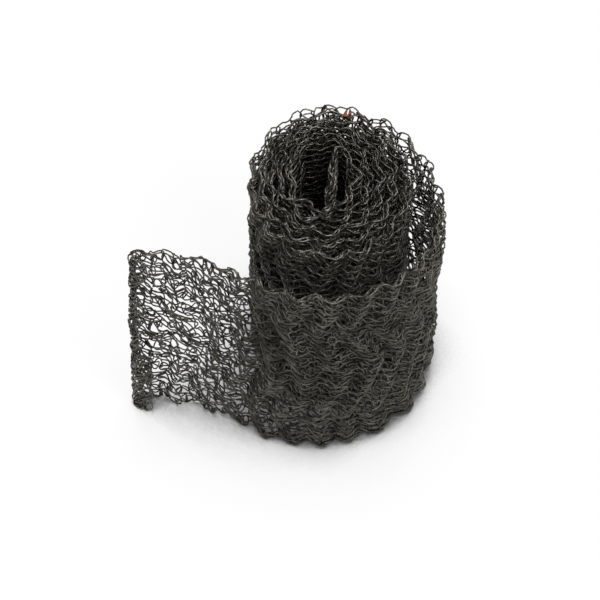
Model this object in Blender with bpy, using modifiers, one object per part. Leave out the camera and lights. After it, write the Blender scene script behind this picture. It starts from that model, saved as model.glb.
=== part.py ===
# A roll of knitted stainless steel mesh, standing on its edge and partly unrolled.
# A knitted wire tube is pressed flat into a strip, crimped in a herringbone, and coiled.
# Metres, +Z up. The strip's lower edge stands on z = 0, under the middle of the roll's outline.

import math

import bmesh
import bpy
import numpy as np

# The strip
STRIP_WIDTH = 0.127
STRIP_THICKNESS = 0.0012

# The herringbone crimps, whose ridges lean one way in one band and back in the next.
# The lean is slight in the tight first turn, and grows to the full one by the third.
CRIMP_PITCH = 0.0145
CRIMP_HEIGHT = 0.0046
CRIMP_LEAN = 0.0145
BAND_HEIGHT = 0.0395
STEPS_PER_CRIMP = 4
HERRINGBONE_TURNS = (-1, 3)

# The coil: how far its first turn lies from the eye's middle, the step to the next turn, and how
# late in a turn, from the back, its right, front and left sides come. The crimps fade in.
EYE_RIGHT = 0.0115
EYE_FRONT = 0.0105
EYE_LEFT = 0.0185
EYE_BACK = 0.0250
STEP_RIGHT = 0.00575
STEP_FRONT = 0.0063
STEP_LEFT = 0.0042
STEP_BACK = 0.0040
LATE_RIGHT, LATE_FRONT, LATE_LEFT = 0.25, 0.50, 0.75
COIL_TURNS = 5
STATIONS_PER_TURN = 18
CRIMPS_BEGIN, CRIMPS_FULL = 0.05, 0.25
TURN_CLEARANCE = 0.0005

# The inner end, a tongue that crosses the eye and bends round into the first turn. Its stations
# are shares of the way to the bend, of the sway and of the crimps.
TONGUE_CLEARANCE = 0.0043
TONGUE_SWAY = 0.0012
TONGUE_CRIMP = 0.0024
TONGUE_BEND = 29
TONGUE_STATIONS = ((0, 0, 1), (0.3, 0.3, 1), (0.6, -0.1, 1), (0.82, -0.8, 0.4))

# The free turn: clockwise angle from the back in degrees, and how far it stands off the coil
FREE_TURN = (
    (12, 0.0002),
    (30, 0.0008),
    (50, 0.0034),
    (70, 0.0065),
    (88, 0.0098),
    (104, 0.0148),
    (120, 0.0192),
    (140, 0.0224),
    (160, 0.0232),
    (180, 0.0245),
    (200, 0.0265),
    (214, 0.0266),
)
FREE_LEAN = (0.0030, 0.0030)
LEAN_BEGINS, LEAN_FULL = 20, 100

# The tail runs out to the left, a little bowed, and its end curls back on itself. Its stations
# are shares of its reach, of its bow and of the free turn's lean.
TAIL_REACH = 0.0520
TAIL_RISE = 0.0150
TAIL_BOW = 0.0035
TAIL_STATIONS = ((0.22, 0.45, 1), (0.45, 1, 0.75), (0.7, 0.8, 0.3), (1, 0, 0))
CURL_RADIUS = 0.0034
CURL_LAP = 0.0060
CURL_CRIMP = 0.0012
CURL_STATIONS = (30, 65, 100, 135, 170)

# See-through gaps in the free turn and the tail
GAP_HEIGHT = 0.0100
GAP_EVERY_COLUMNS = 2
GAP_EVERY_ROWS = 3

STEEL_COLOUR = (0.105, 0.098, 0.085, 1.0)
STEEL_ROUGHNESS = 0.42


def clear_scene():
    for thing in list(bpy.data.objects):
        bpy.data.objects.remove(thing, do_unlink=True)


def ramp(value, start, end):
    """0 up to start, 1 from end on, and a smooth rise between them."""
    share = min(max((value - start) / (end - start), 0.0), 1.0)
    return share * share * (3.0 - 2.0 * share)


def reach_after(turns):
    """How far the winding reaches to the right, front, left and back after that many turns."""
    return (
        EYE_RIGHT + STEP_RIGHT * (turns - LATE_RIGHT),
        EYE_FRONT + STEP_FRONT * (turns - LATE_FRONT),
        EYE_LEFT + STEP_LEFT * (turns - LATE_LEFT),
        EYE_BACK + STEP_BACK * turns,
    )


def outer_reach():
    """The reach of the coil's outermost turn, up to where the free turn starts at the back."""
    return (
        EYE_RIGHT + STEP_RIGHT * (COIL_TURNS - 1),
        EYE_FRONT + STEP_FRONT * (COIL_TURNS - 1),
        EYE_LEFT + STEP_LEFT * (COIL_TURNS - 1),
        EYE_BACK + STEP_BACK * COIL_TURNS,
    )


def on_oval(reach, degrees, gap=0.0):
    """The point at a clockwise angle from the back of an oval, moved out from it by gap."""
    right, front, left, back = reach
    half_x, half_y = (right + left) / 2, (front + back) / 2
    sine, cosine = math.sin(math.radians(degrees)), math.cos(math.radians(degrees))
    outward = np.array((half_y * sine, half_x * cosine))
    outward /= np.linalg.norm(outward)
    middle = np.array(((right - left) / 2, (back - front) / 2))
    return middle + (half_x * sine, half_y * cosine) + gap * outward


def step_towards(degrees):
    """The distance from one turn to the next at that angle."""
    sine, cosine = math.sin(math.radians(degrees)), math.cos(math.radians(degrees))
    side = STEP_RIGHT if sine > 0 else STEP_LEFT
    end = STEP_BACK if cosine > 0 else STEP_FRONT
    return side * sine**2 + end * cosine**2


def room_for_crimps(spacing):
    """The tallest crimps that turns this far apart can have without touching."""
    flank = math.hypot(1.0, 2 * CRIMP_HEIGHT / CRIMP_PITCH)
    return min(CRIMP_HEIGHT, spacing - STRIP_THICKNESS * flank - TURN_CLEARANCE)


# A station is a point on the strip's middle line with its crimp height, its share of the
# herringbone's lean, and its share of the free turn's lean.


def tongue_stations():
    bend = on_oval(reach_after(0), TONGUE_BEND)
    free_end = np.array((-TONGUE_SWAY, TONGUE_CLEARANCE - EYE_FRONT))
    stations = []
    for share, sway, crimp in TONGUE_STATIONS:
        point = free_end + share * (bend - free_end) + (sway * TONGUE_SWAY, 0)
        stations.append((point, crimp * TONGUE_CRIMP, 0, 0))
    return stations


def coil_stations():
    first = TONGUE_BEND / 360
    count = round((COIL_TURNS - first) * STATIONS_PER_TURN)
    stations = []
    for turns in np.linspace(first, COIL_TURNS, count + 1):
        point = on_oval(reach_after(turns), 360 * turns)
        crimp = room_for_crimps(step_towards(360 * turns)) * ramp(turns, CRIMPS_BEGIN, CRIMPS_FULL)
        stations.append((point, crimp, ramp(turns, *HERRINGBONE_TURNS), 0))
    return stations


def free_stations():
    stations = []
    for degrees, gap in FREE_TURN:
        crimp = room_for_crimps(step_towards(degrees) + gap)
        point = on_oval(outer_reach(), degrees, gap)
        stations.append((point, crimp, 1, ramp(degrees, LEAN_BEGINS, LEAN_FULL)))
    return stations


def tail_stations(start):
    """The tail runs left from start, and its end curls round to lap in front of itself."""
    stations = []
    for share, bow, lean in TAIL_STATIONS:
        run = (-TAIL_REACH * share, TAIL_RISE * share + TAIL_BOW * bow)
        crimp = CRIMP_HEIGHT if share < 1 else (CRIMP_HEIGHT + CURL_CRIMP) / 2
        stations.append((start + run, crimp, lean, 1))
    centre = stations[-1][0] - (0, CURL_RADIUS)
    for degrees in CURL_STATIONS:
        angle = math.radians(90 + degrees)
        around = CURL_RADIUS * np.array((math.cos(angle), math.sin(angle)))
        stations.append((centre + around, CURL_CRIMP, 0, 1))
    stations.append((stations[-1][0] + (CURL_LAP, 0), CURL_CRIMP, 0, 1))
    return stations


def smooth_through(points, fineness):
    """A centripetal curve through the points, with that many steps from one to the next."""
    ends = [2 * points[0] - points[1], *points, 2 * points[-1] - points[-2]]
    line = []
    for p0, p1, p2, p3 in zip(ends, ends[1:], ends[2:], ends[3:]):
        t1 = math.sqrt(np.linalg.norm(p1 - p0))
        t2 = t1 + math.sqrt(np.linalg.norm(p2 - p1))
        t3 = t2 + math.sqrt(np.linalg.norm(p3 - p2))
        for t in np.linspace(t1, t2, fineness, endpoint=False):
            a1 = p0 + (p1 - p0) * t / t1
            a2 = p1 + (p2 - p1) * (t - t1) / (t2 - t1)
            a3 = p2 + (p3 - p2) * (t - t2) / (t3 - t2)
            b1 = a1 + (a2 - a1) * t / t2
            b2 = a2 + (a3 - a2) * (t - t1) / (t3 - t1)
            line.append(b1 + (b2 - b1) * (t - t1) / (t2 - t1))
    return np.array([*line, points[-1]])


class Strip:
    """The strip seen from above: a place on it is a distance along its middle line."""

    FINENESS = 12

    def __init__(self):
        coil = tongue_stations() + coil_stations()
        free = free_stations()
        stations = coil + free + tail_stations(free[-1][0])
        self.line = smooth_through([station[0] for station in stations], self.FINENESS)
        steps = np.linalg.norm(np.diff(self.line, axis=0), axis=1)
        self.marks = np.concatenate(((0.0,), np.cumsum(steps)))
        self.length = self.marks[-1]
        self.at_station = self.marks[:: self.FINENESS]
        self.crimp = [station[1] for station in stations]
        self.herringbone = [station[2] for station in stations]
        self.lean = [station[3] for station in stations]
        self.coil_end = self.at_station[len(coil) - 1]

    def point(self, distance):
        across = np.interp(distance, self.marks, self.line[:, 0])
        depth = np.interp(distance, self.marks, self.line[:, 1])
        return np.array((across, depth))

    def outward(self, distance):
        """The direction square to the strip, towards the outside of the coil."""
        reach = CRIMP_PITCH / STEPS_PER_CRIMP / 2
        back = self.point(max(distance - reach, 0))
        ahead = self.point(min(distance + reach, self.length))
        along = (ahead - back) / np.linalg.norm(ahead - back)
        return np.array((-along[1], along[0]))

    def share(self, values, distance):
        return float(np.interp(distance, self.at_station, values))


def crimp_wave(step):
    """From 1 on a ridge to -1 in a furrow, at that step along the strip."""
    return 1 - 4 * abs((step / STEPS_PER_CRIMP + 0.25) % 1 - 0.5)


def herringbone_lean(height):
    """How far along the strip a ridge has leant at that height, either side of its mean."""
    bands = (height - STRIP_WIDTH / 2) / BAND_HEIGHT
    return CRIMP_LEAN * (abs(bands - 2 * round(bands / 2)) - 0.5)


def band_levels():
    """The heights where the ridges turn back, with the strip's two edges."""
    half = STRIP_WIDTH / 2
    count = int(half / BAND_HEIGHT)
    turns = [half + BAND_HEIGHT * band for band in range(-count, count + 1)]
    return [0.0, *turns, STRIP_WIDTH]


def row_levels():
    """The heights of the rows of cells, and which rows are the edges of a band."""
    heights, band_rows = [0.0], [0]
    for low, high in zip(band_levels(), band_levels()[1:]):
        count = max(round((high - low) / GAP_HEIGHT), 1)
        heights += [low + (high - low) * row / count for row in range(1, count)]
        heights.append(high)
        band_rows.append(len(heights) - 1)
    return heights, band_rows


def on_strip(strip, step, distance, height):
    """The place in the roll of a step along the strip, at that height above its lower edge."""
    lean = herringbone_lean(height) * strip.share(strip.herringbone, distance)
    distance = min(max(distance + lean, 0.0), strip.length)
    crimp = strip.share(strip.crimp, distance) * crimp_wave(step) / 2
    tilt = strip.share(strip.lean, distance) * (height / STRIP_WIDTH - 0.5)
    x, y = strip.point(distance) + crimp * strip.outward(distance) + tilt * np.array(FREE_LEAN)
    return x, y, height


def is_gap(column, row, first_column, last_column, rows):
    inside = first_column <= column < last_column and 0 < row < rows - 1
    staggered = (row + column // GAP_EVERY_COLUMNS) % GAP_EVERY_ROWS == 0
    return inside and column % GAP_EVERY_COLUMNS == 0 and staggered


def crimped_sheet():
    """The strip without its thickness: small cells and gaps where it runs free, tall ones inside."""
    strip = Strip()
    heights, band_rows = row_levels()
    rows = len(heights) - 1
    columns = round(strip.length / (CRIMP_PITCH / STEPS_PER_CRIMP))
    free_column = math.ceil(strip.coil_end / strip.length * columns)

    sheet = bmesh.new()
    bmesh.ops.create_grid(sheet, x_segments=columns, y_segments=rows, size=0.5)
    gaps, joined = [], []
    for face in sheet.faces:
        centre = face.calc_center_median()
        column, row = math.floor((centre.x + 0.5) * columns), math.floor((centre.y + 0.5) * rows)
        if is_gap(column, row, free_column + 2, columns - 2, rows):
            gaps.append(face)
    for edge in sheet.edges:
        start, end = (vert.co for vert in edge.verts)
        row = (start.y + end.y + 1) / 2 * rows
        in_coil = (start.x + end.x + 1) / 2 * columns < free_column
        if in_coil and abs(row - round(row)) < 0.25 and round(row) not in band_rows:
            joined.append(edge)
    for vert in sheet.verts:
        step, row = round((vert.co.x + 0.5) * columns), round((vert.co.y + 0.5) * rows)
        vert.co = on_strip(strip, step, strip.length * step / columns, heights[row])
    bmesh.ops.delete(sheet, geom=gaps, context="FACES")
    bmesh.ops.dissolve_edges(sheet, edges=joined, use_verts=True)
    bmesh.ops.triangulate(sheet, faces=sheet.faces, quad_method="SHORT_EDGE")
    return sheet


def knitted_mesh_strip(collection):
    sheet = crimped_sheet()
    mesh = bpy.data.meshes.new("knitted_mesh_strip")
    sheet.to_mesh(mesh)
    sheet.free()
    roll = bpy.data.objects.new("knitted_mesh_strip", mesh)
    collection.objects.link(roll)
    thickness = roll.modifiers.new("Thickness", "SOLIDIFY")
    thickness.thickness = STRIP_THICKNESS
    thickness.offset = 0
    thickness.use_even_offset = True
    thickness.use_quality_normals = True
    stand_on_edge(roll)
    roll.data.materials.append(steel())


def stand_on_edge(roll):
    """Makes the thickness real, levels the strip's two edges, and centres the roll's outline."""
    graph = bpy.context.evaluated_depsgraph_get()
    solid = bpy.data.meshes.new_from_object(roll.evaluated_get(graph))
    roll.modifiers.clear()
    roll.data = solid
    corners = np.array([vert.co for vert in solid.vertices])
    middle = (corners.min(axis=0) + corners.max(axis=0)) / 2
    for vert in solid.vertices:
        vert.co.x -= middle[0]
        vert.co.y -= middle[1]
        for edge in (0.0, STRIP_WIDTH):
            if abs(vert.co.z - edge) < STRIP_THICKNESS / 2:
                vert.co.z = edge


def steel():
    material = bpy.data.materials.new("dull_steel_wire")
    material.use_nodes = True
    shader = material.node_tree.nodes["Principled BSDF"]
    shader.inputs["Base Color"].default_value = STEEL_COLOUR
    shader.inputs["Metallic"].default_value = 1.0
    shader.inputs["Roughness"].default_value = STEEL_ROUGHNESS
    return material


def main():
    clear_scene()
    collection = bpy.data.collections.new("steel_mesh_roll")
    bpy.context.scene.collection.children.link(collection)
    knitted_mesh_strip(collection)


main()
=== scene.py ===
# A roll of knitted steel mesh, stood on its edge, with its outer turn swung clear of the coil.
# Every wire is real: one long wire runs round and round a knitted tube, and the tube is pressed
# flat, crimped in a herringbone and wound up. All lengths are metres.
import math

import bpy
import numpy as np
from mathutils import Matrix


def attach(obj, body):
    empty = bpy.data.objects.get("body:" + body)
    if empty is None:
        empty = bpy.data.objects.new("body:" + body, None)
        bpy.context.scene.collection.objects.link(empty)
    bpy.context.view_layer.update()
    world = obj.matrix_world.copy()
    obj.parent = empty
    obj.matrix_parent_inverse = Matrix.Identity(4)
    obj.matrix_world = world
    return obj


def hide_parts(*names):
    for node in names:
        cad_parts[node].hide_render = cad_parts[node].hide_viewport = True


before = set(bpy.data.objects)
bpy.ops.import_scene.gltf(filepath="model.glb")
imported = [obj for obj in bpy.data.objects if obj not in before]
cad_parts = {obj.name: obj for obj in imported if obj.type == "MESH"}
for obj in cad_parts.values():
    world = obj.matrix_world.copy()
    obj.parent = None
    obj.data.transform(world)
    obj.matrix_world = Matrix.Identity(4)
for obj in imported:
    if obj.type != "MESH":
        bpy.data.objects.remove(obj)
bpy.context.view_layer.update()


# The winding, seen from above. Angles run clockwise from the back, and the coil's axis is (0, 0)
# until coilAxis moves it into the frame.

winding = {
    "coilAxis": (0.02055, 0.00912),
    "eye": (0.0115, 0.0105, 0.0185, 0.0250),       # the first turn's reach: right, front, left, back
    "step": (0.00575, 0.0063, 0.0042, 0.0040),     # from each turn to the next, the same four ways
    "turns": 5,
    "stationsPerTurn": 18,
    "turnClearance": 0.0005,                       # between the crimps of one turn and the next
    "crimpsBegin": (0.05, 0.25),                   # in turns, where the crimps start and are full
    "tongueBend": 29,                              # the angle where it runs into the first turn
    "tongueClearance": 0.0043,                     # from its free end to the front of the eye
    "tongueSway": 0.0012,                          # how far it sways off a straight line
    "tongueCrimp": 0.0024,
    "tongue": (                                    # share of its length, its sway and its crimps
        (0, 0, 1), (0.3, 0.3, 1), (0.6, -0.1, 1), (0.82, -0.8, 0.4),
    ),
    "freeTurn": (                                  # angle, and how far it stands off the coil
        (12, 0.0002), (30, 0.0008), (50, 0.0034), (70, 0.0065), (88, 0.0098), (104, 0.0148),
        (120, 0.0192), (140, 0.0224), (160, 0.0232), (180, 0.0245), (200, 0.0265), (214, 0.0266),
    ),
    "freeLean": (0.0030, 0.0030),                  # its top is this far right and back of its foot
    "leanBegins": (20, 100),                       # the angles where it starts and is full
    "tailReach": 0.0520,                           # how far the tail runs to the left
    "tailRise": 0.0150,                            # and to the back
    "tailBow": 0.0035,                             # how far its middle bows to the back
    "tailCrimp": 0.0026,
    "tail": (                                      # share of its length, its bow, its herringbone
        (0.22, 0.45, 1), (0.45, 1, 0.75), (0.7, 0.8, 0.3), (1, 0, 0),
    ),
    "curlRadius": 0.0034,
    "curlAngles": (30, 65, 100, 135, 170),
    "curlLap": 0.0060,                             # how far its end runs back along the tail
    "curlCrimp": 0.0012,
}

strip = {
    "width": 0.127,
    "thickness": 0.0012,               # which takes from the room for crimps
    "crimpPitch": 0.0145,
    "crimpHeight": 0.0037,
    "crimpSharp": 0.80,                # 1 would be a plain zigzag, and less is rounder
    "crimpLean": 0.0145,               # along the strip, over the height of one band
    "bandHeight": 0.0395,
    "crimpDrift": 0.10,                # how far the crimps stray, as a share of their pitch
    "crimpUneven": 0.12,               # how much their height varies
    "herringboneTurns": (-1, 3),       # where it would start, and where it is full
}


def ramp(value, start, end):
    share = np.clip((value - start) / (end - start), 0.0, 1.0)
    return share * share * (3.0 - 2.0 * share)


def reachAfter(turns):
    late = (0.25, 0.50, 0.75, 0.0)     # how much of a turn after the back it gets to each side
    sides = zip(winding["eye"], winding["step"], late)
    return [eye + step * (turns - part) for eye, step, part in sides]


def outerReach():
    # the outline that the free turn stands off from
    right, front, left, back = winding["eye"]
    whole = winding["turns"] - 1
    stepRight, stepFront, stepLeft, stepBack = winding["step"]
    return (right + stepRight * whole, front + stepFront * whole, left + stepLeft * whole,
            back + stepBack * (whole + 1))


def onOval(reach, degrees, gap=0.0):
    right, front, left, back = reach
    halfX, halfY = (right + left) / 2, (front + back) / 2
    sine, cosine = math.sin(math.radians(degrees)), math.cos(math.radians(degrees))
    outward = np.array((halfY * sine, halfX * cosine))
    outward /= np.linalg.norm(outward)
    x = (right - left) / 2 + halfX * sine
    y = (back - front) / 2 + halfY * cosine
    return np.array((x, y)) + gap * outward


def stepTowards(degrees):
    # from one turn to the next at this angle
    sine, cosine = math.sin(math.radians(degrees)), math.cos(math.radians(degrees))
    stepRight, stepFront, stepLeft, stepBack = winding["step"]
    side = stepRight if sine > 0 else stepLeft
    end = stepBack if cosine > 0 else stepFront
    return side * sine**2 + end * cosine**2


def roomForCrimps(spacing):
    flank = math.hypot(1.0, 2 * strip["crimpHeight"] / strip["crimpPitch"])
    room = spacing - strip["thickness"] * flank - winding["turnClearance"]
    return min(strip["crimpHeight"], room)


# A station is a point on the middle line, with its crimp height, herringbone share and lean share.

def tongueStations():
    bend = onOval(reachAfter(0), winding["tongueBend"])
    freeEnd = np.array((-winding["tongueSway"], winding["tongueClearance"] - winding["eye"][1]))
    stations = []
    for share, sway, crimp in winding["tongue"]:
        point = freeEnd + share * (bend - freeEnd) + (sway * winding["tongueSway"], 0)
        stations.append((point, crimp * winding["tongueCrimp"], 0, 0))
    return stations


def coilStations():
    first = winding["tongueBend"] / 360
    count = round((winding["turns"] - first) * winding["stationsPerTurn"])
    stations = []
    for turns in np.linspace(first, winding["turns"], count + 1):
        crimp = roomForCrimps(stepTowards(360 * turns)) * ramp(turns, *winding["crimpsBegin"])
        point = onOval(reachAfter(turns), 360 * turns)
        stations.append((point, crimp, ramp(turns, *strip["herringboneTurns"]), 0))
    return stations


def freeStations():
    stations = []
    for degrees, gap in winding["freeTurn"]:
        crimp = roomForCrimps(stepTowards(degrees) + gap)
        point = onOval(outerReach(), degrees, gap)
        stations.append((point, crimp, 1, ramp(degrees, *winding["leanBegins"])))
    return stations


def tailStations(start):
    stations = []
    endCrimp = (winding["tailCrimp"] + winding["curlCrimp"]) / 2
    for share, bow, herringbone in winding["tail"]:
        rise = winding["tailRise"] * share + winding["tailBow"] * bow
        point = start + (-winding["tailReach"] * share, rise)
        crimp = winding["tailCrimp"] if share < 1 else endCrimp
        stations.append((point, crimp, herringbone, 1))
    centre = stations[-1][0] - (0, winding["curlRadius"])
    for degrees in winding["curlAngles"]:
        angle = math.radians(90 + degrees)
        around = winding["curlRadius"] * np.array((math.cos(angle), math.sin(angle)))
        stations.append((centre + around, winding["curlCrimp"], 0, 1))
    lapEnd = stations[-1][0] + (winding["curlLap"], 0)
    stations.append((lapEnd, winding["curlCrimp"], 0, 1))
    return stations


def smoothThrough(points, fineness):
    # a curve through all the points, which neither loops nor swings out where they lie close
    ends = [2 * points[0] - points[1], *points, 2 * points[-1] - points[-2]]
    line = []
    for p0, p1, p2, p3 in zip(ends, ends[1:], ends[2:], ends[3:]):
        t1 = math.sqrt(np.linalg.norm(p1 - p0))
        t2 = t1 + math.sqrt(np.linalg.norm(p2 - p1))
        t3 = t2 + math.sqrt(np.linalg.norm(p3 - p2))
        for t in np.linspace(t1, t2, fineness, endpoint=False):
            a1 = p0 + (p1 - p0) * t / t1
            a2 = p1 + (p2 - p1) * (t - t1) / (t2 - t1)
            a3 = p2 + (p3 - p2) * (t - t2) / (t3 - t2)
            b1 = a1 + (a2 - a1) * t / t2
            b2 = a2 + (a3 - a2) * (t - t1) / (t3 - t1)
            line.append(b1 + (b2 - b1) * (t - t1) / (t2 - t1))
    return np.array([*line, points[-1]])


fineness = 12                          # points from each station to the next
coil = tongueStations() + coilStations()
free = freeStations()
stations = coil + free + tailStations(free[-1][0])
line = smoothThrough([s[0] for s in stations], fineness)
marks = np.concatenate(((0.0,), np.cumsum(np.linalg.norm(np.diff(line, axis=0), axis=1))))
stripLength = marks[-1]
atStation = marks[::fineness]
crimpAt, herringboneAt, leanAt = (np.array([s[i] for s in stations], float) for i in (1, 2, 3))
quarterCrimps = round(stripLength / (strip["crimpPitch"] / 4))
crimpPitch = stripLength / quarterCrimps * 4
freeStart = atStation[len(coil) - 1]
tailStart = atStation[len(coil) + len(free) - 1]
print("strip is", round(stripLength, 3), "m along its middle line")


# The crimps lengthen the strip, so the knit counts its courses along the crimped surface.
fineCount = 4000
fineMarks = np.linspace(0.0, stripLength, fineCount)
crimpSlope = 2 * np.interp(fineMarks, atStation, crimpAt) / crimpPitch
crimpedSteps = np.diff(fineMarks) * np.hypot(1, crimpSlope)[1:]


def crimpWave(turn):
    # from -1 to 1, between a sine and a zigzag
    sharp = strip["crimpSharp"]
    return np.arcsin(sharp * np.sin(2 * math.pi * turn)) / math.asin(sharp)


# What strays slowly, each with its seed and with the shortest and longest waves that it sums.

drifts = {
    "crimpPlace": (21, 0.03, 0.09),
    "crimpHeight": (22, 0.02, 0.06),
    "meshAlong": (5, 0.008, 0.03),
    "meshUp": (6, 0.008, 0.03),
    "meshDepth": (7, 0.008, 0.03),
}
waveCount = 14


def slowDrift(along, across, kind):
    seed, shortest, longest = drifts[kind]
    draw = np.random.default_rng(seed)
    drift = np.zeros_like(along)
    for _ in range(waveCount):
        direction, wavelength = draw.uniform(0, 2 * math.pi), draw.uniform(shortest, longest)
        there = (along * math.cos(direction) + across * math.sin(direction)) / wavelength
        drift += np.sin(2 * math.pi * (there + draw.random()))
    return drift / math.sqrt(waveCount / 2)


def herringboneLean(height):
    # the ridges lean one way in one band and back in the next
    bands = (height - strip["width"] / 2) / strip["bandHeight"]
    return strip["crimpLean"] * (np.abs(bands - 2 * np.round(bands / 2)) - 0.5)


def onLine(distance):
    return np.interp(distance, marks, line[:, 0]), np.interp(distance, marks, line[:, 1])


def onSheet(distance, height):
    # distances along the strip and heights, as arrays, become places on its crimped middle
    x, y = onLine(distance)
    reach = crimpPitch / 8             # the line's direction is taken over twice this
    aheadX, aheadY = onLine(np.minimum(distance + reach, stripLength))
    backX, backY = onLine(np.maximum(distance - reach, 0))
    alongX, alongY = aheadX - backX, aheadY - backY
    size = np.hypot(alongX, alongY)

    lean = herringboneLean(height) * np.interp(distance, atStation, herringboneAt)
    stray = strip["crimpDrift"] * slowDrift(distance, height, "crimpPlace")
    uneven = 1 + strip["crimpUneven"] * slowDrift(distance, height, "crimpHeight")
    crimp = np.interp(distance, atStation, crimpAt) / 2 * uneven
    crimp = crimp * crimpWave((distance - lean) / crimpPitch + stray)

    tilt = np.interp(distance, atStation, leanAt) * (height / strip["width"] - 0.5)
    leanX, leanY = winding["freeLean"]
    axisX, axisY = winding["coilAxis"]
    x = x - alongY / size * crimp + tilt * leanX + axisX
    y = y + alongX / size * crimp + tilt * leanY + axisY
    return np.stack((x, y, height), axis=1)


def sheetNormal(distance, height):
    # away from the coil's axis
    small = 0.0004                     # the slopes are taken over twice this
    along = onSheet(distance + small, height) - onSheet(distance - small, height)
    up = onSheet(distance, height + small) - onSheet(distance, height - small)
    normal = np.cross(up, along)
    return normal / np.linalg.norm(normal, axis=1, keepdims=True)


# The one fleck of rust. It swells the wire, and colours it from its rim in to its core.

rust = {
    "place": (0.0288, 0.0527, 0.1215),
    "colour": (0.42, 0.105, 0.035, 1),
    "rim": 0.0034,
    "core": 0.0017,
    "swell": 1.5,                      # 1 would make the wire twice as wide
    "swellCore": 0.0012,               # where it is at its widest
}


# The knit. The wire runs round the flat tube, up its outer layer and down its inner one, and its
# loops reach along the strip. One stitch is one loop.

knit = {
    "stitchesRound": 28,
    "layerGap": 0.0014,
    "loopBulge": 0.0017,               # how far a loop's head is wider than its neck
    "loopDepth": 0.00042,              # how far its legs stand in front of its head
    "cornerReach": 1.2,                # times the half width, to look as wide as a round wire
    "seed": 11,
    "uneven": {                        # reach and bulge are shares of themselves, skew of the reach
        "reach": 0.14, "course": 0.0004, "bulge": 0.30, "place": 0.0004, "skew": 0.15,
    },
    "depthDrift": 0.5,                 # as a share of the loops' drift
    "layersApart": 40.0,               # so far apart that the two layers drift each on its own
    "lapShort": 0.0055,                # the curl's lap is this much shorter between its corners
    "lapOver": 0.016,                  # along this much of the strip's end
    "lapLowCorner": (0.051, 0.042),    # the heights where a corner begins and is full
    "lapHighCorner": (0.106, 0.114),
    "firstCourse": 1,                  # so that its loops stay on the strip
    "wireEnd": 0.0015,                 # how far its last course is from the strip's cut edge
    "loops": (
        # at this distance: spacing and half length of the loops, drift, lean, and half the wire,
        # which is less in the tail because the flattened wire shows its edge there
        (0.00, 0.0048, 0.0039, 0.0004, 0.0, 0.00044),
        (0.60, 0.0048, 0.0039, 0.0004, 0.1, 0.00044),
        (0.80, 0.0048, 0.0039, 0.0005, 0.1, 0.00042),
        (0.85, 0.0060, 0.0038, 0.0006, 0.0, 0.00036),
        (0.90, 0.0060, 0.0038, 0.0007, -0.1, 0.00036),
        (0.94, 0.0052, 0.0040, 0.0005, -0.1, 0.00039),
        (0.97, 0.0046, 0.0043, 0.0004, 0.1, 0.00042),
        (1.05, 0.0043, 0.0043, 0.0005, 0.3, 0.00042),
        (1.07, 0.0045, 0.0036, 0.0007, 0.5, 0.00037),
        (1.09, 0.0048, 0.0032, 0.0009, 0.6, 0.00033),
        (1.12, 0.0050, 0.0032, 0.0011, 0.6, 0.00033),
        (1.13, 0.0037, 0.0032, 0.0008, 0.6, 0.00036),
    ),
}

loopPlaces, loopSpacing, loopReach, loopSlack, loopLean, wireRadius = np.array(knit["loops"]).T
layerHalf = knit["layerGap"] / 2
flatHeight = strip["width"] - 2 * (layerHalf + knit["loopDepth"] + max(wireRadius))
roundEdge = math.pi * layerHalf
tubeRound = 2 * (flatHeight + roundEdge)
stitchHeight = tubeRound / knit["stitchesRound"]

spacingAt = np.interp(fineMarks, loopPlaces, loopSpacing)
courseMarks = np.concatenate(((0.0,), np.cumsum(crimpedSteps / spacingAt[1:])))
stitchCount = int(courseMarks[-1] * knit["stitchesRound"])
drawCount = 2 * stitchCount + 4        # two for each stitch, and a few to spare
draws = np.random.default_rng(knit["seed"]).normal(0.0, 1.0, (len(knit["uneven"]), drawCount))
drawsOf = dict(zip(knit["uneven"], draws))


def unevenAt(stitch, kind):
    return knit["uneven"][kind] * np.interp(stitch * 2, np.arange(drawCount), drawsOf[kind])


def aroundTube(place):
    # the height of a place round the flat tube, and the angle at which the tube faces out there
    place = place % tubeRound
    low = (strip["width"] - flatHeight) / 2
    onOuter = place < flatHeight
    onTop = (place >= flatHeight) & (place < flatHeight + roundEdge)
    onInner = (place >= flatHeight + roundEdge) & (place < 2 * flatHeight + roundEdge)
    angle = np.select([onOuter, onTop, onInner],
                      [0 * place, (place - flatHeight) / layerHalf, 0 * place + math.pi],
                      math.pi + (place - 2 * flatHeight - roundEdge) / layerHalf)
    middle = np.select([onOuter, onTop, onInner],
                       [low + place, 0 * place + low + flatHeight,
                        low + 2 * flatHeight + roundEdge - place], low)
    return middle, angle


def shortenedLap(distance, height):
    corners = ramp(height, *knit["lapLowCorner"]) + ramp(height, *knit["lapHighCorner"])
    nearEnd = ramp(distance, stripLength - knit["lapOver"], stripLength)
    return distance - knit["lapShort"] * (1 - corners) * nearEnd


def rustySwell(points):
    away = np.linalg.norm(points - rust["place"], axis=1)
    return 1 + rust["swell"] * (1 - ramp(away, rust["swellCore"], rust["rim"]))


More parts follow.
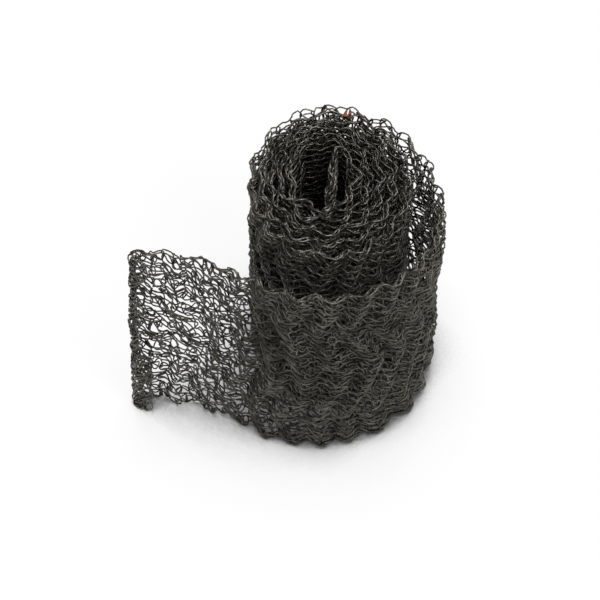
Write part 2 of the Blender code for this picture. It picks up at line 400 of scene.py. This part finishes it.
def wirePath(firstStitch, lastStitch, bends):
    # the wire's points, the strip's outward directions there, and the wire's half width
    stitch = np.arange(round(firstStitch * bends), round(lastStitch * bends) + 1) / bends
    phase = 2 * math.pi * stitch
    row = stitch / knit["stitchesRound"]
    centre = np.interp(row, courseMarks, fineMarks)
    spacing, halfLoop, slack, lean, radius = (
        np.interp(centre, loopPlaces, values)
        for values in (loopSpacing, loopReach, loopSlack, loopLean, wireRadius))

    # a place along the strip, in courses, and a place round the tube
    reach = halfLoop * (1 + unevenAt(stitch, "reach")) * np.cos(phase)
    course = row + (reach + unevenAt(stitch, "course")) / spacing
    bulge = knit["loopBulge"] * (1 + unevenAt(stitch, "bulge")) * np.sin(2 * phase)
    lean = lean * np.cos(aroundTube(stitch * stitchHeight)[1])
    skew = (lean + unevenAt(stitch, "skew")) * reach
    place = stitch * stitchHeight + bulge + skew + unevenAt(stitch, "place")

    # both become a distance along the strip, a height and a depth, each with its drift
    height, angle = aroundTube(place)
    distance = shortenedLap(np.interp(course, courseMarks, fineMarks), height)
    layer = distance + knit["layersApart"] * np.sign(np.cos(angle))
    inside = np.sqrt(np.sin(math.pi * np.clip(height / strip["width"], 0, 1)))
    distance = distance + slack * inside * slowDrift(layer, height, "meshAlong")
    height = height + slack * inside * slowDrift(layer, height, "meshUp")
    depth = layerHalf - knit["loopDepth"] * np.cos(2 * phase)
    depth = depth + knit["depthDrift"] * slack * slowDrift(layer, height, "meshDepth")

    radius = knit["cornerReach"] * radius
    height = np.clip(height + depth * np.sin(angle), radius, strip["width"] - radius)
    normal = sheetNormal(distance, height)
    points = onSheet(distance, height) + normal * (depth * np.cos(angle))[:, None]
    return points, normal, radius * rustySwell(points)


def wireMesh(name, points, normals, radius):
    # a three-sided tube along the points, shaded round
    tangent = np.gradient(points, axis=0)
    tangent /= np.linalg.norm(tangent, axis=1, keepdims=True)
    side = np.cross(tangent, normals)
    side /= np.linalg.norm(side, axis=1, keepdims=True)
    up = np.cross(side, tangent)
    rings = []
    for corner in range(3):
        angle = 2 * math.pi * corner / 3 + math.pi / 2  # the first is along the normal
        rings.append(points + radius[:, None] * (math.cos(angle) * side + math.sin(angle) * up))
    verts = np.stack(rings, axis=1).reshape(-1, 3)

    # four-sided faces along the tube, then a three-sided cap at each end
    count = len(points)
    start = 3 * np.arange(count - 1)[:, None]
    corner = np.arange(3)[None, :]
    following = (corner + 1) % 3
    quads = np.stack((start + corner, start + following,
                      start + 3 + following, start + 3 + corner), axis=2)
    caps = np.array((2, 1, 0, 3 * count - 3, 3 * count - 2, 3 * count - 1))
    loops = np.concatenate((quads.reshape(-1), caps))
    sides = 3 * (count - 1)
    loopStarts = np.concatenate((4 * np.arange(sides), (4 * sides, 4 * sides + 3)))

    mesh = bpy.data.meshes.new(name)
    mesh.vertices.add(len(verts))
    mesh.vertices.foreach_set("co", verts.reshape(-1))
    mesh.loops.add(len(loops))
    mesh.loops.foreach_set("vertex_index", loops)
    mesh.polygons.add(len(loopStarts))
    mesh.polygons.foreach_set("loop_start", loopStarts)
    mesh.update(calc_edges=True)
    mesh.validate()
    mesh.shade_smooth()
    wire = bpy.data.objects.new(name, mesh)
    bpy.context.scene.collection.objects.link(wire)
    return wire


# The finish: dull drawn steel wire, warm grey, with darker stretches and the fleck of rust.

steel = {
    "dark": (0.062, 0.058, 0.048, 1),
    "light": (0.260, 0.249, 0.213, 1),
    "metallic": 0.90,
    "roughness": (0.38, 0.54),
    "patchScale": 160.0,
    "patchDetail": 3.0,
    "grainScale": 2600.0,
    "grainDetail": 2.0,
    "noiseRange": (0.3, 0.7),          # the noise values that stand for one end and the other
    "bumpStrength": 0.12,
    "bumpDepth": 0.00004,
}


def steelWire():
    material = bpy.data.materials.new("dullDrawnSteel")
    material.use_nodes = True
    nodes, links = material.node_tree.nodes, material.node_tree.links
    shader = nodes["Principled BSDF"]
    place = nodes.new("ShaderNodeTexCoord").outputs["Object"]

    def noise(scale, detail):
        node = nodes.new("ShaderNodeTexNoise")
        node.inputs["Scale"].default_value = scale
        node.inputs["Detail"].default_value = detail
        links.new(place, node.inputs["Vector"])
        return node.outputs["Fac"]

    def mapped(value, fromRange, toRange):
        node = nodes.new("ShaderNodeMapRange")
        node.inputs["From Min"].default_value, node.inputs["From Max"].default_value = fromRange
        node.inputs["To Min"].default_value, node.inputs["To Max"].default_value = toRange
        links.new(value, node.inputs["Value"])
        return node.outputs["Result"]

    def blend(factor, first, second):
        node = nodes.new("ShaderNodeMix")
        node.data_type = "RGBA"
        links.new(factor, node.inputs["Factor"])
        for socket, colour in ((node.inputs["A"], first), (node.inputs["B"], second)):
            if isinstance(colour, tuple):
                socket.default_value = colour
            else:
                links.new(colour, socket)
        return node.outputs["Result"]

    patches = noise(steel["patchScale"], steel["patchDetail"])
    grain = noise(steel["grainScale"], steel["grainDetail"])
    lightness = mapped(patches, steel["noiseRange"], (0, 1))
    bare = blend(lightness, steel["dark"], steel["light"])

    away = nodes.new("ShaderNodeVectorMath")
    away.operation = "DISTANCE"
    links.new(place, away.inputs[0])
    away.inputs[1].default_value = rust["place"]
    edges = rust["rim"], rust["core"]
    rusty = mapped(away.outputs["Value"], edges, (0, 1))
    metallic = mapped(away.outputs["Value"], edges, (steel["metallic"], 0))
    links.new(blend(rusty, bare, rust["colour"]), shader.inputs["Base Color"])
    links.new(metallic, shader.inputs["Metallic"])

    roughness = mapped(grain, steel["noiseRange"], steel["roughness"])
    links.new(roughness, shader.inputs["Roughness"])
    bump = nodes.new("ShaderNodeBump")
    bump.inputs["Strength"].default_value = steel["bumpStrength"]
    bump.inputs["Distance"].default_value = steel["bumpDepth"]
    links.new(grain, bump.inputs["Height"])
    links.new(bump.outputs["Normal"], shader.inputs["Normal"])
    return material


# The wire is one, and is cut here into lengths only so that no mesh is too heavy.

def atTurn(turns):
    # how far along the strip a turn of the coil ends
    coilTurns = np.linspace(winding["tongueBend"] / 360, winding["turns"], len(coilStations()))
    return np.interp(turns, coilTurns, atStation[len(tongueStations()):len(coil)])


lengths = {
    # where each ends, and the bends in one of its stitches
    "tongueKnit": {"until": atTurn(1.2), "bends": 14},
    "innerTurnsKnit": {"until": atTurn(2.7), "bends": 12},
    "middleTurnsKnit": {"until": atTurn(3.8), "bends": 12},
    "outerTurnKnit": {"until": atTurn(4.5), "bends": 14},
    "hugTurnKnit": {"until": freeStart, "bends": 14},
    "freeSideKnit": {"until": (freeStart + tailStart) / 2, "bends": 16},
    "freeFrontKnit": {"until": tailStart, "bends": 16},
    "tailKnit": {"until": stripLength - knit["wireEnd"], "bends": 16},
}

finish = steelWire()
begun = knit["firstCourse"]
triangles = 0
for name, length in lengths.items():
    ended = np.interp(length["until"], fineMarks, courseMarks)
    first, last = begun * knit["stitchesRound"], ended * knit["stitchesRound"]
    wire = wireMesh(name, *wirePath(first, last, length["bends"]))
    wire.data.materials.append(finish)
    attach(wire, "root")
    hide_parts("knitted_mesh_strip")
    # each face makes as many triangles as it has corners, less two
    count = len(wire.data.loops) - 2 * len(wire.data.polygons)
    triangles += count
    begun = ended
    print(name, "has", round(last - first), "stitches,", count, "triangles")
print("triangles in all", triangles)


# The stage: a white floor, soft light from above and a camera that looks steeply down.

stage = {
    "floorSize": 16.0,
    "floorColour": (0.22, 0.22, 0.22, 1),
    "floorRoughness": 0.9,
    "floorGlow": 0.78,                 # what the lit floor lacks of white
    # painted shade: the floor's glow fades with ambient occlusion where the roll shuts it in
    "shutIn": (0.47, 0.67),            # how open the floor is where its glow begins and is full
    "paintedShadeReach": 0.07,               # only what is nearer shuts it in
    "shutInSamples": 8,
    "skyStrength": 0.06,
    "suns": {
        "topSun": {"strength": 2.5, "softness": 45.0, "elevation": 82.0, "azimuth": 170.0},
        "frontSun": {"strength": 0.9, "softness": 30.0, "elevation": 54.0, "azimuth": 45.0},
    },
}

camera = {
    "elevation": 58.0,
    "distance": 1.5,
    "aimAt": (0.0, 0.0, 0.127),        # above the coil's axis, at the strip's upper edge
    "aimPixel": (330, 187),            # where that point is in the picture
    "picture": 600,
    "focalPixels": 3300.0,
    "sensor": 36.0,
}


def makeFloor():
    half = stage["floorSize"] / 2
    corners = [(-half, -half, 0), (half, -half, 0), (half, half, 0), (-half, half, 0)]
    mesh = bpy.data.meshes.new("floor")
    mesh.from_pydata(corners, [], [(0, 1, 2, 3)])
    floor = bpy.data.objects.new("floor", mesh)
    bpy.context.scene.collection.objects.link(floor)
    material = bpy.data.materials.new("paleFloor")
    material.use_nodes = True
    nodes, links = material.node_tree.nodes, material.node_tree.links
    shader = nodes["Principled BSDF"]
    shader.inputs["Base Color"].default_value = stage["floorColour"]
    shader.inputs["Roughness"].default_value = stage["floorRoughness"]
    shader.inputs["Specular IOR Level"].default_value = 0.0
    shader.inputs["Emission Color"].default_value = (1, 1, 1, 1)

    # the floor glows up to white where it is seen straight, mirrored or through something clear
    rays = nodes.new("ShaderNodeLightPath")
    seen = rays.outputs["Is Camera Ray"]
    for other in ("Is Glossy Ray", "Is Transmission Ray"):
        either = nodes.new("ShaderNodeMath")
        either.operation = "MAXIMUM"
        links.new(seen, either.inputs[0])
        links.new(rays.outputs[other], either.inputs[1])
        seen = either.outputs[0]

    # but its glow fades where the roll shuts it in, as between the turns and round its foot: painted
    # shade, taken from ambient occlusion
    occlusionForPaintedShade = nodes.new("ShaderNodeAmbientOcclusion")
    occlusionForPaintedShade.samples = stage["shutInSamples"]
    occlusionForPaintedShade.inputs["Distance"].default_value = stage["paintedShadeReach"]
    paintedShadeFade = nodes.new("ShaderNodeMapRange")
    paintedShadeFade.interpolation_type = "SMOOTHSTEP"
    paintedShadeFade.inputs["From Min"].default_value, paintedShadeFade.inputs["From Max"].default_value = stage["shutIn"]
    paintedShadeFade.inputs["To Max"].default_value = stage["floorGlow"]
    links.new(occlusionForPaintedShade.outputs["AO"], paintedShadeFade.inputs["Value"])
    glow = nodes.new("ShaderNodeMath")
    glow.operation = "MULTIPLY"
    links.new(seen, glow.inputs[0])
    links.new(paintedShadeFade.outputs["Result"], glow.inputs[1])
    links.new(glow.outputs[0], shader.inputs["Emission Strength"])
    mesh.materials.append(material)


def makeSky():
    world = bpy.data.worlds.new("softSky")
    bpy.context.scene.world = world
    world.use_nodes = True
    sky = world.node_tree.nodes["Background"]
    sky.inputs["Color"].default_value = (1, 1, 1, 1)
    sky.inputs["Strength"].default_value = stage["skyStrength"]


def makeSuns():
    for name, sun in stage["suns"].items():
        data = bpy.data.lights.new(name, "SUN")
        data.energy = sun["strength"]
        data.angle = math.radians(sun["softness"])
        lamp = bpy.data.objects.new(name, data)
        bpy.context.scene.collection.objects.link(lamp)
        fromAbove = math.radians(90 - sun["elevation"])
        lamp.rotation_euler = (fromAbove, 0, math.radians(sun["azimuth"]))


def makeCamera():
    data = bpy.data.cameras.new("camera")
    data.sensor_width = camera["sensor"]
    data.lens = camera["focalPixels"] / camera["picture"] * camera["sensor"]
    eye = bpy.data.objects.new("camera", data)
    bpy.context.scene.collection.objects.link(eye)
    tilt = math.radians(camera["elevation"])
    perPixel = camera["distance"] / camera["focalPixels"]
    across = (camera["aimPixel"][0] - camera["picture"] / 2) * perPixel
    upward = (camera["picture"] / 2 - camera["aimPixel"][1]) * perPixel
    aim = np.array(camera["aimAt"]) + (*winding["coilAxis"], 0)
    back = np.array((0, -math.cos(tilt), math.sin(tilt)))
    up = np.array((0, math.sin(tilt), math.cos(tilt)))
    eye.location = aim + back * camera["distance"] - (across, 0, 0) - up * upward
    eye.rotation_euler = (math.pi / 2 - tilt, 0, 0)
    bpy.context.scene.camera = eye


makeFloor()
makeSky()
makeSuns()
makeCamera()
bpy.context.scene.view_settings.view_transform = "Standard"
print("floor, light and camera in place")
